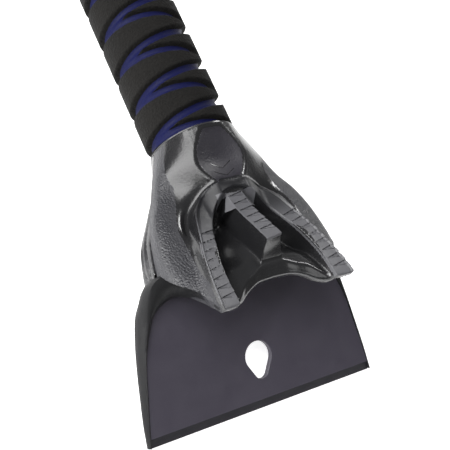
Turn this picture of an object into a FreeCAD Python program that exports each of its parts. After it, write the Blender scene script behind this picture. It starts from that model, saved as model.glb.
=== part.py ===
"""Windshield ice scraper: blade, chipper head and a foam-covered tube handle.

The tool is drawn in its own working frame and then set down on a flat surface.
+X runs across the blade, +Y along the handle away from the blade, and +Z is the toothed side.
In the working frame the handle's axis is the Y axis, and the grip meets the head at Y = 0.
"""
import FreeCAD, Part

import math
import os

from FreeCAD import Vector

# ---- Driving dimensions, millimetres and degrees ----

BLADE_WIDTH = 110.0
BLADE_REACH = 106.7
BLADE_DROP = 30.0
BLADE_PITCH = 25.0
BLADE_THICKNESS = 2.6
BLADE_TAPER = 0.16
BLADE_LENGTH = 68.0
BEVEL_LENGTH = 3.8
BEVEL_LIP = 0.8
HOLE_LARGE_RADIUS = 6.2
HOLE_LARGE_UP = 21.3
HOLE_SMALL_RADIUS = 3.2
HOLE_SMALL_UP = 15.1
CARRIER_TRAY = 2.6
CARRIER_INSET = 0.6

SEAM_HEIGHT = 1.0
SHELL_WALL = 3.0
CRADLE_WALL = 5.0
CLAMP_FRONT = 50.0
CLAMP_BACK = 41.0
CLAMP_HALF_WIDTH = 32.0
UNDER_LIP = 64.0

TUBE_RADIUS = 12.5
TUBE_WALL = 1.5
TUBE_IN_HEAD = 24.0
PLUG_LENGTH = 22.0
COLLAR_RADIUS = 19.0
COLLAR_LENGTH = 1.0
GRIP_RADIUS = 18.5
GRIP_LENGTH = 173.4
GROOVE_FLOOR_RADIUS = 16.2
CAP_RADIUS = 19.4
CAP_LENGTH = 14.0
CAP_WALL = 3.0
CAP_EDGE = 2.5

RIB_TIP = 76.0
TIP_THICKNESS = 2.6
CENTRE_RIB_WIDTH = 7.6
CENTRE_RIB_PROFILE = [(-25.0, 12.0), (-27.5, 15.4), (-55.4, 26.1), (-61.5, 17.0), (-62.0, 12.0), (-40.0, 4.0)]
SIDE_TEETH = 8
CENTRE_TEETH = 6
TOOTH_PITCH = 4.0
TOOTH_DEPTH = 1.3
TOOTH_WIDTH = 2.0
LAST_SIDE_TOOTH = 71.5
LAST_CENTRE_TOOTH = 50.5

SCREW_RADIUS = 1.7
SCREW_HEAD_RADIUS = 3.2
SCREW_HEAD_HEIGHT = 1.8
BLADE_SCREW_ACROSS = 20.0
BLADE_SCREW_UP = 64.5
BLADE_SCREW_HEAD = -14.8
BLADE_SCREW_LENGTH = 20.0
SHELL_SCREW_ACROSS = 24.0
SHELL_SCREW_FORWARD = 30.0
SHELL_SCREW_HEAD = -15.5
SHELL_SCREW_LENGTH = 19.0
NECK_SCREWS_FORWARD = (9.0, 18.0)
NECK_SCREW_HEAD = -18.4
NECK_SCREW_LENGTH = 15.0
CAP_SCREW_LENGTH = 14.0
FIT = 0.15

# Half sections of the upper shell: distance forward of the collar, seam half width,
# cheek middle, crease between cheek and crown, shoulder, and height on the centre line.
UPPER_SECTIONS = [
    (0.0, 19.4, (18.3, 6.4), (16.2, 10.7), (9.7, 16.8), 19.4),
    (12.0, 25.2, (24.0, 6.2), (19.4, 10.0), (10.4, 15.3), 13.9),
    (24.0, 31.0, (29.0, 6.0), (21.9, 7.6), (10.5, 11.6), 12.6),
    (40.0, 35.4, (33.0, 6.0), (26.2, 7.8), (14.0, 7.8), 8.0),
    (54.0, 38.8, (35.0, 6.6), (27.2, 10.2), (15.0, 9.8), 10.0),
    (60.0, 40.4, (35.6, 7.2), (27.8, 11.8), (15.0, 11.6), 11.8),
]

# Half sections of the lower shell: distance forward, seam half width, widest point,
# lower bulge and height on the centre line.
LOWER_SECTIONS = [
    (0.0, 19.35, (18.4, -6.0), (12.6, -14.8), -19.4),
    (12.0, 24.6, (23.8, -5.0), (17.6, -15.0), -19.6),
    (24.0, 30.6, (30.6, -5.0), (23.6, -15.4), -20.2),
    (38.0, 36.8, (37.6, -6.0), (29.6, -16.0), -21.2),
    (52.0, 41.0, (41.6, -8.5), (33.8, -17.6), -22.4),
    (UNDER_LIP, 43.4, (43.6, -11.0), (35.8, -18.6), -22.8),
]

# Outline of the carrier's wing on the blade's plane: (across, up the blade).
WING_OUTER = [(55.2, 1.0), (54.0, 14.0), (52.2, 28.0), (50.2, 40.0), (48.0, 48.6), (44.6, 55.0), (40.2, 59.4),
              (34.0, 61.6)]
WING_INNER = [(33.2, 53.0), (37.0, 51.6), (41.0, 49.4), (44.2, 45.8), (47.0, 40.0), (50.0, 28.0),
              (52.6, 14.0), (54.4, 1.0)]
# Height of the wing above the blade's face: (up the blade, height).
WING_TOP = [(-2.0, 0.2), (30.0, 1.2), (42.0, 2.4), (50.0, 4.4), (57.0, 7.2), (64.0, 8.2)]

# Plan of the crown's arch, right half: (across, forward) from the middle of its back to the tip.
CROWN_OUTER = [(0.0, 24.4), (8.0, 25.0), (14.3, 28.0), (19.5, 34.0), (23.2, 44.0), (26.9, 56.0), (29.6, 68.0),
               (30.3, RIB_TIP)]
CROWN_INNER = [(0.0, 27.4), (6.4, 29.0), (11.6, 34.0), (15.6, 42.6), (19.3, 52.0), (21.6, 62.0), (22.3, 70.0),
               (21.6, RIB_TIP)]
# Front edge of the bowls between the rib tips, and the side profile of their floor: (y, z).
CROWN_FRONT = [(21.6, RIB_TIP), (17.2, 72.4), (10.5, 68.8), (0.0, 67.4)]
BOWL_TOP = [(-25.0, 13.0), (-31.0, 10.6), (-38.0, 9.6), (-46.0, 10.4), (-54.0, 13.2), (-61.0, 16.4),
            (-68.0, 17.0), (-77.0, 19.2)]
BOWL_DEPTH = 2.6
# Three points on the top face of the right rib, and three on the sloping back of the arch.
RIB_PLANE = [(23.2, -44.0, 15.1), (29.5, -68.0, 20.2), (16.3, -44.0, 13.7)]
BACK_PLANE = [(0.0, -26.0, 15.4), (16.0, -26.0, 10.6), (0.0, -40.0, 16.0)]


# ---- Small helpers ----

def vec(x, y, z):
    return Vector(x, y, z)


def box(x0, x1, y0, y1, z0, z1):
    return Part.makeBox(x1 - x0, y1 - y0, z1 - z0, vec(x0, y0, z0))


def cylinder(radius, y0, y1):
    """A solid cylinder on the handle's axis."""
    return Part.makeCylinder(radius, y1 - y0, vec(0, y0, 0), vec(0, 1, 0))


def pipe(outer, inner, y0, y1):
    return cylinder(outer, y0, y1).cut(cylinder(inner, y0 - 1, y1 + 1))


def spline(points):
    curve = Part.BSplineCurve()
    curve.interpolate(points)
    return curve.toShape()


def mirrored(points):
    """The same points on the other side of the middle plane, in reverse order."""
    return [vec(-p.x, p.y, p.z) for p in reversed(points)]


def other_side(shape):
    return shape.mirror(vec(0, 0, 0), vec(1, 0, 0))


def both_sides(shape):
    return shape.fuse(other_side(shape))


def prism_across(profile, x0, x1):
    """A solid across the tool, from a closed profile of (y, z) points."""
    wire = Part.makePolygon([vec(x0, y, z) for y, z in profile + profile[:1]])
    return Part.Face(wire).extrude(vec(x1 - x0, 0, 0))


def prism_up(edges, z0, z1):
    """A solid from a closed plan outline drawn at height zero."""
    face = Part.Face(Part.Wire(Part.sortEdges(edges)[0]))
    face.translate(vec(0, 0, z0))
    return face.extrude(vec(0, 0, z1 - z0))


def plan(points):
    """Plan points given as (across, forward of the collar)."""
    return [vec(x, -forward, 0) for x, forward in points]


def space_above(points):
    """A large solid above the plane through three points."""
    a, b, c = [vec(*p) for p in points]
    u = (b - a).normalize()
    normal = (b - a).cross(c - a).normalize()
    if normal.z < 0:
        normal = normal * -1
    v = normal.cross(u)
    reach = 150.0
    corners = [a + u * i * reach + v * j * reach for i, j in ((-1, -1), (1, -1), (1, 1), (-1, 1))]
    return Part.Face(Part.makePolygon(corners + corners[:1])).extrude(normal * reach)


def plane_height(points, x, y):
    """Height at (x, y) of the plane through three points."""
    a, b, c = [vec(*p) for p in points]
    normal = (b - a).cross(c - a)
    return a.z - (normal.x * (x - a.x) + normal.y * (y - a.y)) / normal.z


def in_blade_frame(shape):
    """Moves a shape drawn on the blade's own plane to where the blade sits.

    There X runs across, Y up the blade from its edge, and Z out of its top face.
    """
    shape.rotate(vec(0, 0, 0), vec(1, 0, 0), BLADE_PITCH)
    shape.translate(vec(0, -BLADE_REACH, -BLADE_DROP))
    return shape


# ---- Blade and its carrier ----

def blade_half_width(up):
    return BLADE_WIDTH / 2 - BLADE_TAPER * up


def blade_outline(inset=0.0):
    """Plan of the blade: straight edge, tapering sides and a rounded root."""
    corner_up = 47.0
    front = blade_half_width(0) - inset
    side = vec(blade_half_width(corner_up) - inset, corner_up, 0)
    shoulder = vec(41.5 - inset, 58.5, 0)
    root = vec(30.0 - inset, BLADE_LENGTH, 0)
    return [
        Part.makeLine(vec(-front, 0, 0), vec(front, 0, 0)),
        Part.makeLine(vec(front, 0, 0), side),
        Part.Arc(side, shoulder, root).toShape(),
        Part.makeLine(root, vec(-root.x, root.y, 0)),
        Part.Arc(*mirrored([side, shoulder, root])).toShape(),
        Part.makeLine(vec(-side.x, side.y, 0), vec(-front, 0, 0)),
    ]


def hanging_hole():
    """Teardrop through the blade: two circles joined by their outer tangents."""
    gap = HOLE_LARGE_UP - HOLE_SMALL_UP
    lean = math.asin((HOLE_LARGE_RADIUS - HOLE_SMALL_RADIUS) / gap)
    depth = BLADE_THICKNESS * 4
    large = Part.makeCylinder(HOLE_LARGE_RADIUS, depth, vec(0, HOLE_LARGE_UP, -depth / 2))
    small = Part.makeCylinder(HOLE_SMALL_RADIUS, depth, vec(0, HOLE_SMALL_UP, -depth / 2))
    pair = [(HOLE_LARGE_RADIUS, HOLE_LARGE_UP), (HOLE_SMALL_RADIUS, HOLE_SMALL_UP)]
    corners = [vec(r * math.cos(lean), up - r * math.sin(lean), -depth / 2) for r, up in pair]
    corners += mirrored(corners)
    web = Part.Face(Part.makePolygon(corners + corners[:1])).extrude(vec(0, 0, depth))
    return large.fuse([small, web])


def blade_screw_bores(radius, low, high):
    """Round bores at the two blade screws, between two heights off the blade's face."""
    place = vec(BLADE_SCREW_ACROSS, BLADE_SCREW_UP, low)
    return both_sides(Part.makeCylinder(radius, high - low, place))


def make_blade():
    plate = prism_up(blade_outline(CARRIER_INSET), -BLADE_THICKNESS, 0)
    drop = BLADE_THICKNESS - BEVEL_LIP
    profile = [(-1, -drop - 0.5), (0, -drop), (BEVEL_LENGTH, 0), (BEVEL_LENGTH, 2), (-1, 2)]
    bevel = prism_across(profile, -60, 60)
    return in_blade_frame(plate.cut([bevel, hanging_hole(), blade_screw_bores(SCREW_RADIUS + FIT, -20, 20)]))


def make_blade_carrier():
    """Frame round the blade's root: side rails, flared wings and a tray under the plate."""
    under = -BLADE_THICKNESS - CARRIER_TRAY
    tray = prism_up(blade_outline(), under, -BLADE_THICKNESS)
    tray = tray.common(box(-60, 60, 44, BLADE_LENGTH + 2, -10, 10))
    outer = [vec(x, up, 0) for x, up in WING_OUTER]
    inner = [vec(x, up, 0) for x, up in WING_INNER]
    outline = [spline(outer), Part.makeLine(outer[-1], inner[0])]
    outline += [spline(inner), Part.makeLine(inner[-1], outer[0])]
    wing = prism_up(outline, under, 12)
    over = prism_across(WING_TOP + [(64.0, 30.0), (-2.0, 30.0)], 0, 70)
    below = prism_across([(-2, -20), (40, -20), (40, under), (20, -3.6), (-2, -2.2)], 0, 70)
    wing = wing.cut([over, below, prism_up(blade_outline(CARRIER_INSET), -BLADE_THICKNESS, 0)])
    carrier = both_sides(wing).fuse(tray).cut(blade_screw_bores(SCREW_RADIUS + FIT, -20, 20)).removeSplitter()
    return in_blade_frame(carrier)


# ---- Head shells ----

def upper_wire(section, shrink=0.0):
    forward, seam, cheek, crease, shoulder, middle = section
    y = -forward
    seam_point = vec(seam - shrink, y, SEAM_HEIGHT)
    cheek_point = vec(cheek[0] - shrink, y, cheek[1] - shrink * 0.6)
    crease_point = vec(crease[0] - shrink * 0.6, y, crease[1] - shrink)
    shoulder_point = vec(shoulder[0] - shrink * 0.3, y, shoulder[1] - shrink)
    half_top = [crease_point, shoulder_point]
    top = half_top + [vec(0, y, middle - shrink)] + mirrored(half_top)
    right = [seam_point, cheek_point, crease_point]
    left = mirrored(right)
    return Part.Wire([spline(right), spline(top), spline(left), Part.makeLine(left[-1], seam_point)])


def upper_body():
    return Part.makeLoft([upper_wire(s) for s in UPPER_SECTIONS], True, False)


def upper_cavity():
    return Part.makeLoft([upper_wire(s, SHELL_WALL) for s in UPPER_SECTIONS[2:]], True, False)


def lower_wire(section, shrink=0.0):
    forward, seam, widest, bulge, middle = section
    y = -forward
    right = [vec(seam - shrink, y, SEAM_HEIGHT), vec(widest[0] - shrink, y, widest[1]),
             vec(bulge[0] - shrink * 0.7, y, bulge[1] + shrink * 0.7)]
    points = right + [vec(0, y, middle + shrink)] + mirrored(right)
    return Part.Wire([spline(points), Part.makeLine(points[-1], points[0])])


def lower_body():
    return Part.makeLoft([lower_wire(s) for s in LOWER_SECTIONS], True, False)


def lower_cavity():
    return Part.makeLoft([lower_wire(s, CRADLE_WALL) for s in LOWER_SECTIONS[2:5]], True, False)


def off_blade(low, high):
    """Everything between two heights off the blade's top face, ahead of the clamp's back."""
    space = in_blade_frame(box(-70, 70, -10, 140, low, high))
    return space.common(box(-70, 70, -200, -CLAMP_BACK, -90, 90))


def clamp_zone(z0, z1):
    return box(-CLAMP_HALF_WIDTH, CLAMP_HALF_WIDTH, -CLAMP_FRONT, -CLAMP_BACK, z0, z1)


def hood_side_walls():
    """Walls below the side ribs, from the blade's carrier up to the rib tips."""
    profile = [(-50.0, -8.0), (-58.0, -8.0), (-60.5, -2.0), (-64.0, 3.0), (-68.0, 8.5), (-74.5, 16.0),
               (-70.0, 16.5), (-58.0, 10.0), (-50.0, 6.0)]
    return both_sides(prism_across(profile, 26.8, 30.0))


def shell_screw_bores(radius, z0, z1):
    place = vec(SHELL_SCREW_ACROSS, -SHELL_SCREW_FORWARD, z0)
    return both_sides(Part.makeCylinder(radius, z1 - z0, place))


def neck_screw_bores(radius, z0, z1):
    first, second = [Part.makeCylinder(radius, z1 - z0, vec(0, -y, z0)) for y in NECK_SCREWS_FORWARD]
    return first.fuse(second)


def socket():
    """Bore in the neck for the handle tube."""
    return cylinder(TUBE_RADIUS + FIT, -TUBE_IN_HEAD, 1)


def make_upper_shell(others):
    body = upper_body()
    roof = body.fuse(clamp_zone(-20, SEAM_HEIGHT + 2))
    clamp = roof.common(clamp_zone(-20, 40)).cut(off_blade(-60, 0))
    bosses = shell_screw_bores(SCREW_RADIUS + 2.2, SEAM_HEIGHT, 30).common(body)
    shell = body.cut(upper_cavity()).fuse([clamp, bosses, hood_side_walls()])
    shell_pilot = shell_screw_bores(SCREW_RADIUS, -5, SHELL_SCREW_HEAD + SHELL_SCREW_LENGTH)
    blade_pilot = in_blade_frame(blade_screw_bores(SCREW_RADIUS, -20, BLADE_SCREW_HEAD + BLADE_SCREW_LENGTH))
    return shell.cut([socket(), shell_pilot, blade_pilot] + others).removeSplitter()


def make_lower_shell(others):
    body = lower_body()
    front = body.common(box(-60, 60, -UNDER_LIP, -CLAMP_BACK, -40, SEAM_HEIGHT))
    posts = shell_screw_bores(SCREW_RADIUS + 2.6, -40, SEAM_HEIGHT).common(body)
    shell = body.cut(lower_cavity()).fuse([front, posts])
    loose = SCREW_RADIUS + FIT
    head = SCREW_HEAD_RADIUS + FIT
    cuts = [socket(), off_blade(-BLADE_THICKNESS - CARRIER_TRAY, 60),
            in_blade_frame(blade_screw_bores(loose, -40, 10)),
            in_blade_frame(blade_screw_bores(head, -40, BLADE_SCREW_HEAD + SCREW_HEAD_HEIGHT)),
            shell_screw_bores(loose, -40, 10),
            shell_screw_bores(head, -40, SHELL_SCREW_HEAD + SCREW_HEAD_HEIGHT),
            neck_screw_bores(loose, -40, -5),
            neck_screw_bores(head, -40, NECK_SCREW_HEAD + SCREW_HEAD_HEIGHT)]
    return shell.cut(cuts + others).removeSplitter()


# ---- Chipper crown ----

def crown_region():
    """Plan of the arch: from tip to tip along the outside, and back along the inside."""
    outer = mirrored(plan(CROWN_OUTER))[:-1] + plan(CROWN_OUTER)
    inner = mirrored(plan(CROWN_INNER))[:-1] + plan(CROWN_INNER)
    ends = [Part.makeLine(outer[i], inner[i]) for i in (0, -1)]
    return prism_up([spline(outer), spline(inner)] + ends, -5, 40)


def bowl_region():
    """Plan inside the arch, closed by the curved front edge."""
    inner = mirrored(plan(CROWN_INNER))[:-1] + plan(CROWN_INNER)
    front = plan(CROWN_FRONT) + mirrored(plan(CROWN_FRONT))[1:]
    return prism_up([spline(inner), spline(front)], -5, 40)


def tooth_cutter(left, right, height_at):
    """A notch across a rib, from nothing at its left edge to full depth at its right edge."""
    apex = vec(left[0], left[1], height_at(left) + 0.02)
    back = vec(right[0], right[1] + TOOTH_WIDTH * 0.6, height_at(right) + 0.4)
    deep = vec(back.x, back.y, back.z - TOOTH_DEPTH - 0.4)
    front = vec(right[0], right[1] - TOOTH_WIDTH * 0.4, back.z)
    corners = [(apex, back, deep), (apex, deep, front), (apex, front, back), (back, front, deep)]
    faces = [Part.Face(Part.makePolygon([a, b, c, a])) for a, b, c in corners]
    return Part.Solid(Part.Shell(faces))


def across_at(points, forward):
    """Distance across, along one edge of the crown's plan."""
    for (x0, f0), (x1, f1) in zip(points, points[1:]):
        if f0 <= forward <= f1:
            return x0 + (x1 - x0) * (forward - f0) / (f1 - f0)
    return points[-1][0]


def side_tooth_cutters():
    cutters = []
    for i in range(SIDE_TEETH):
        forward = LAST_SIDE_TOOTH - TOOTH_PITCH * i
        inside = across_at(CROWN_INNER, forward) - 0.4
        outside = across_at(CROWN_OUTER, forward) + 0.4
        for left, right in ((inside, outside), (-outside, -inside)):
            cutters.append(tooth_cutter((left, -forward), (right, -forward), rib_height))
    return cutters


def rib_height(place):
    return plane_height(RIB_PLANE, abs(place[0]), place[1])


def centre_rib_height(place):
    (y0, z0), (y1, z1) = CENTRE_RIB_PROFILE[1:3]
    return z0 + (z1 - z0) * (place[1] - y0) / (y1 - y0)


def centre_tooth_cutters():
    half = CENTRE_RIB_WIDTH / 2
    places = [-LAST_CENTRE_TOOTH + TOOTH_PITCH * i for i in range(CENTRE_TEETH)]
    return [tooth_cutter((-half, y), (half + 0.2, y), centre_rib_height) for y in places]


def make_chipper_crown(upper):
    arch = crown_region()
    above_right = space_above(RIB_PLANE)
    above_ribs = [above_right.common(box(0, 80, -100, 20, -60, 120)),
                  other_side(above_right).common(box(-80, 0, -100, 20, -60, 120))]
    above_back = space_above(BACK_PLANE)
    above_back = [above_back.common(box(0, 80, -100, 20, -60, 120)),
                  other_side(above_back).common(box(-80, 0, -100, 20, -60, 120))]
    ribs = arch.cut(above_ribs)
    back = arch.cut(above_back).common(box(-40, 40, -40, 0, -60, 120))
    floor_under = [(y, z - BOWL_DEPTH) for y, z in reversed(BOWL_TOP)]
    bowls = bowl_region().common(prism_across(BOWL_TOP + floor_under, -40, 40))
    half = CENTRE_RIB_WIDTH / 2
    centre = prism_across(CENTRE_RIB_PROFILE, -half, half)
    tip_under = rib_height((26.0, -RIB_TIP)) - TIP_THICKNESS
    profile = [(-80, -40), (-80, tip_under), (-RIB_TIP, tip_under), (-64, 11.5), (-58, 5), (-58, -40)]
    hollow = prism_across(profile, -50, 50)
    crown = ribs.fuse([back, bowls, centre]).cut([hollow] + side_tooth_cutters() + centre_tooth_cutters())
    return crown.cut([upper, upper_cavity(), box(-50, 50, -60, 0, -60, 4)]).removeSplitter()


# ---- Handle ----

def make_end_cap():
    """A cap over the grip's far end, with a rounded outer edge."""
    cap = cylinder(CAP_RADIUS, GRIP_END, CAP_END)
    rim = [e for e in cap.Edges if abs(e.CenterOfMass.y - CAP_END) < 0.01 and e.Closed]
    cap = cap.makeFillet(CAP_EDGE, rim)
    cap = cap.cut(cylinder(TUBE_RADIUS + FIT, GRIP_END - 1, TUBE_END))
    return cap.cut([cylinder(SCREW_RADIUS + FIT, TUBE_END - 1, CAP_END + 1),
                    cylinder(SCREW_HEAD_RADIUS + FIT, CAP_END - SCREW_HEAD_HEIGHT, CAP_END + 1)])


def screw(length):
    """A pan-head screw on its own axis: the head's top is at zero and the shank points up."""
    head = Part.makeCylinder(SCREW_HEAD_RADIUS, SCREW_HEAD_HEIGHT)
    shank = Part.makeCylinder(SCREW_RADIUS, length)
    bars = [box(-a, a, -b, b, -1, 0.8) for a, b in ((2.0, 0.5), (0.5, 2.0))]
    return head.fuse(shank).cut(bars)


def moved(shape, x, y, z):
    shape.translate(vec(x, y, z))
    return shape


def group(solids):
    return Part.makeCompound(solids)


def make_blade_screws():
    pair = [moved(screw(BLADE_SCREW_LENGTH), side * BLADE_SCREW_ACROSS, BLADE_SCREW_UP, BLADE_SCREW_HEAD)
            for side in (-1, 1)]
    return group([in_blade_frame(one) for one in pair])


def make_shell_screws():
    y = -SHELL_SCREW_FORWARD
    pair = [moved(screw(SHELL_SCREW_LENGTH), side * SHELL_SCREW_ACROSS, y, SHELL_SCREW_HEAD) for side in (-1, 1)]
    return group(pair)


def make_neck_screws():
    row = [moved(screw(NECK_SCREW_LENGTH), 0, -forward, NECK_SCREW_HEAD) for forward in NECK_SCREWS_FORWARD]
    return group(row)


def make_cap_screw():
    one = screw(CAP_SCREW_LENGTH)
    one.rotate(vec(0, 0, 0), vec(1, 0, 0), 90)
    return moved(one, 0, CAP_END, 0)


def make_handle_tube():
    tube = pipe(TUBE_RADIUS, TUBE_RADIUS - TUBE_WALL, -TUBE_IN_HEAD, TUBE_END)
    return tube.cut(neck_screw_bores(SCREW_RADIUS + FIT, -20, -5))


def make_head_plug():
    plug = cylinder(TUBE_RADIUS - TUBE_WALL, -TUBE_IN_HEAD, -TUBE_IN_HEAD + PLUG_LENGTH)
    return plug.cut(neck_screw_bores(SCREW_RADIUS, -20, NECK_SCREW_HEAD + NECK_SCREW_LENGTH))


def make_tail_plug():
    plug = cylinder(TUBE_RADIUS - TUBE_WALL, TUBE_END - PLUG_LENGTH, TUBE_END)
    return plug.cut(cylinder(SCREW_RADIUS, CAP_END - CAP_SCREW_LENGTH, CAP_END))


def lay_down(shapes):
    """Turns and lifts the whole tool so that blade and end cap rest on the ground plane.

    The origin is then below the middle of the tool's overall box.
    """
    pitch = math.radians(BLADE_PITCH)
    edge_y = -BLADE_REACH + BLADE_THICKNESS * math.sin(pitch)
    edge_z = -BLADE_DROP - BLADE_THICKNESS * math.cos(pitch)
    tilt = math.atan2(-CAP_RADIUS - edge_z, CAP_END - CAP_EDGE - edge_y)
    for shape in shapes.values():
        shape.rotate(vec(0, 0, 0), vec(1, 0, 0), -math.degrees(tilt))
    boxes = [shapes[name].optimalBoundingBox() for name in ("blade", "end_cap")]
    middle = (min(b.YMin for b in boxes) + max(b.YMax for b in boxes)) / 2
    lift = -min(b.ZMin for b in boxes)
    for shape in shapes.values():
        shape.translate(vec(0, -middle, lift))
    print("tilt", round(math.degrees(tilt), 4), "middle", round(middle, 4), "lift", round(lift, 4))


GRIP_START = COLLAR_LENGTH
GRIP_END = GRIP_START + GRIP_LENGTH
CAP_END = GRIP_END + CAP_LENGTH
TUBE_END = CAP_END - CAP_WALL

blade = make_blade()
carrier = make_blade_carrier()
upper_shell = make_upper_shell([blade, carrier])
lower_shell = make_lower_shell([blade, carrier])

parts = {
    "blade": blade,
    "blade_carrier": carrier,
    "head_upper_shell": upper_shell,
    "head_lower_shell": lower_shell,
    "chipper_crown": make_chipper_crown(upper_shell),
    "collar_ring": pipe(COLLAR_RADIUS, TUBE_RADIUS, 0, COLLAR_LENGTH),
    "handle_tube": make_handle_tube(),
    "head_plug": make_head_plug(),
    "tail_plug": make_tail_plug(),
    "grip_core_foam": pipe(GROOVE_FLOOR_RADIUS, TUBE_RADIUS, GRIP_START, GRIP_END),
    "grip_cover_foam": pipe(GRIP_RADIUS, GROOVE_FLOOR_RADIUS, GRIP_START, GRIP_END),
    "end_cap": make_end_cap(),
    "end_cap_screw": make_cap_screw(),
    "blade_screws": make_blade_screws(),
    "shell_screws": make_shell_screws(),
    "neck_screws": make_neck_screws(),
}
lay_down(parts)

os.makedirs("parts", exist_ok=True)
for name, shape in parts.items():
    b = shape.optimalBoundingBox()
    extent = [round(v, 1) for v in (b.XMin, b.XMax, b.YMin, b.YMax, b.ZMin, b.ZMax)]
    print(name, shape.isValid(), len(shape.Solids), round(shape.Volume), extent)
    shape.exportStep("parts/" + name + ".step")
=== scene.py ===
"""Looks for the windshield ice scraper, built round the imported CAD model.

Shapes are worked out in millimetres in the tool's working frame: +X across the blade, +Y along the
handle away from the blade, +Z the toothed side, with the handle's axis as the Y axis and the grip
meeting the head at Y = 0. `place` then lays the tool down as the CAD model lies, in metres.
"""

import math

import bmesh
import bpy
import numpy as np
from mathutils import Euler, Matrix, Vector


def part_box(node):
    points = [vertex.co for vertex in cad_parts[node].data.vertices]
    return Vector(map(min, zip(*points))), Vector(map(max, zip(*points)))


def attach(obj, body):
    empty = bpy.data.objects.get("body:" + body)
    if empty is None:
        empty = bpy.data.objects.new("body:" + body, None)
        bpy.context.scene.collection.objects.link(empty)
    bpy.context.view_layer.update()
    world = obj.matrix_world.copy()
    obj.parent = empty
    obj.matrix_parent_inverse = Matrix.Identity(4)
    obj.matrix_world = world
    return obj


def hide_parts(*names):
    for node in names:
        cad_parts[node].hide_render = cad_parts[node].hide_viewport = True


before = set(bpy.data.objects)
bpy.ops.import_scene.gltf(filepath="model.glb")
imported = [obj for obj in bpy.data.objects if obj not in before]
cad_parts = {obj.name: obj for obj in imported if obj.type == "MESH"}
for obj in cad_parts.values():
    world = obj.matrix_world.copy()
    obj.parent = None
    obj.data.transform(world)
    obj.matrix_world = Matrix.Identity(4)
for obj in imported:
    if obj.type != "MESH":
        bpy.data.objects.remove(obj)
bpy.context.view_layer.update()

# ---- Driving dimensions: millimetres, and the blade's pitch in radians ----

BLADE_REACH = 106.7
BLADE_DROP = 30.0
BLADE_PITCH = math.radians(25.0)
BLADE_WIDTH = 110.0
BLADE_THICKNESS = 2.6
BLADE_TAPER = 0.16
BLADE_LENGTH = 68.0
BLADE_INSET = 0.6
BEVEL_LENGTH = 3.8
BEVEL_LIP = 0.8
HOLE_LARGE = (6.2, 21.3)
HOLE_SMALL = (3.2, 15.1)

# Height of the seam between the head's two shells, and the lower shell's clearance below it.
SEAM = 1.0
SHELL_GAP = 0.35
COLLAR_RADIUS = 19.0
COLLAR_LENGTH = 1.0
GRIP_START = COLLAR_LENGTH
GRIP_LENGTH = 173.4
GRIP_RADIUS = 18.9
CORE_RADIUS = 16.9
CAP_RADIUS = 19.4
CAP_LENGTH = 14.0
CAP_EDGE = 2.5
GRIP_END = GRIP_START + GRIP_LENGTH
CAP_END = GRIP_END + CAP_LENGTH

TOOTH_PITCH = 4.0
SIDE_TEETH = [71.5 - TOOTH_PITCH * i for i in range(8)]
CENTRE_TEETH = [50.5 - TOOTH_PITCH * i for i in range(6)]

# Half sections of the upper shell, by distance forward of the collar: seam, cheek, crease,
# shoulder and top, each (across, height).
UPPER_FORWARD = [0, 12, 23, 29, 36, 50, 60, 72]
UPPER_SECTIONS = [
    [(19.37, 1.0), (18.5, 5.8), (16.6, 10.0), (9.9, 16.7), (0, 19.4)],
    [(25.4, 1.0), (24.4, 6.0), (20.0, 10.4), (10.8, 15.9), (0, 18.6)],
    [(30.8, 1.0), (28.8, 6.0), (22.0, 8.2), (13.2, 11.8), (0, 16.8)],
    [(33.8, 1.0), (32.2, 6.4), (24.0, 8.0), (16.6, 8.0), (0, 12.0)],
    [(36.2, 1.0), (34.8, 6.8), (26.6, 8.6), (19.8, 6.4), (0, 7.0)],
    [(39.4, 1.0), (37.2, 7.6), (27.5, 10.8), (22.0, 15.0), (0, 15.0)],
    [(40.8, 1.0), (37.2, 8.8), (28.3, 13.2), (22.0, 17.5), (0, 18.0)],
    [(42.0, 1.0), (37.0, 9.8), (28.9, 15.9), (22.0, 19.5), (0, 19.5)],
]
# Half sections of the lower shell: seam, widest point, bulge, keel and bottom.
LOWER_FORWARD = [0, 12, 24, 38, 52, 64]
LOWER_SECTIONS = [
    [(19.35, 0.6), (18.4, -6.0), (12.8, -14.6), (6.6, -18.4), (0, -19.4)],
    [(24.4, 0.6), (22.6, -5.0), (16.9, -14.8), (8.6, -18.8), (0, -19.6)],
    [(30.0, 0.6), (30.2, -5.0), (22.9, -15.2), (11.4, -19.5), (0, -20.2)],
    [(37.0, 0.6), (38.8, -6.0), (29.6, -16.0), (15.0, -20.6), (0, -21.2)],
    [(40.8, 0.6), (41.6, -8.5), (34.0, -17.6), (17.0, -21.8), (0, -22.4)],
    [(43.0, 0.6), (43.6, -11.0), (36.0, -18.6), (18.0, -22.3), (0, -22.8)],
]

# Plan lines, each from the middle outwards: (across, forward of the collar).
ARCH_OUTSIDE = [(0, 24.3), (7, 24.6), (12, 26.0), (16.5, 30.0), (19.6, 34.0), (21.6, 39.0), (23.2, 44.0),
                (25.9, 52.0), (27.8, 60.0), (29.3, 68.0), (30.3, 76.5), (30.5, 90.0)]
ARCH_INSIDE = [(0, 27.2), (4.5, 28.2), (8.6, 31.0), (11.6, 35.0), (14.4, 40.0), (17.8, 48.0), (20.4, 56.0),
               (21.8, 64.0), (22.2, 72.0), (22.3, 90.0)]
HEAD_FRONT = [(0, 67.4), (7.6, 68.1), (13.4, 70.6), (18.0, 73.8), (22.0, 75.6), (26.0, 76.1), (34.0, 76.3)]
CHEEK_FRONT = [(0, 84.0), (29.4, 82.0), (29.9, 66.0), (30.4, 57.0), (31.4, 53.6), (34.0, 52.2),
               (38.0, 51.6), (42.0, 52.0), (50.0, 53.0)]
# How far the cheek's front leans back for each millimetre of height.
CHEEK_RAKE = 1.25
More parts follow.
